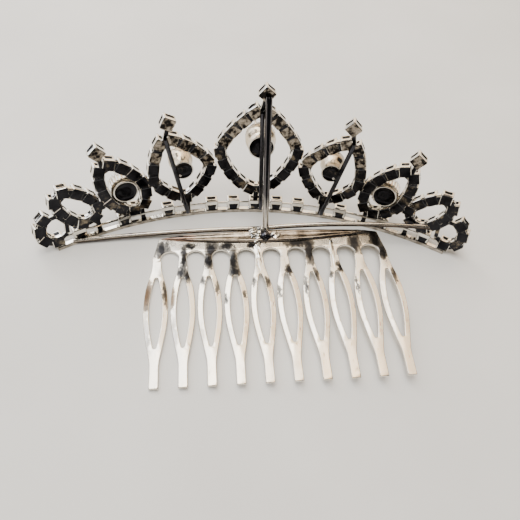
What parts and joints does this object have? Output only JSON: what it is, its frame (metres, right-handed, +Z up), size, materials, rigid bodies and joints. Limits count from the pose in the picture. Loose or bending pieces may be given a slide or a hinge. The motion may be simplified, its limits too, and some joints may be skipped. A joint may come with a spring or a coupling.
{
  "type": "tiara comb",
  "caption": "Crown of stone-set loops leaning outward from a curved rail, with large round-set stones, braced from behind and soldered to a flat slotted hair comb that holds it on the head.",
  "frame": {"origin": "On the surface that it rests on, under the middle of the whole, between the centre stone's front and the comb's tips.", "axes": "+X to the right seen from the comb's side, along the crown's width; +Y to the front, where the stones face; +Z up from the rail to the tips."},
  "size_m": [0.0988, 0.0569, 0.0324],
  "materials": {
    "plated_metal": "polished silver plating",
    "small_stone": "cut, clear",
    "large_stone": "cut, clear"
  },
  "bodies": {
    "root": {"crown_metal": "plated_metal", "loop_stones": "small_stone", "base_stones": "small_stone", "centre_stone": "large_stone", "second_stone_left": "large_stone", "second_stone_right": "large_stone", "third_stone_left": "large_stone", "third_stone_right": "large_stone"}
  },
  "joints": []
}
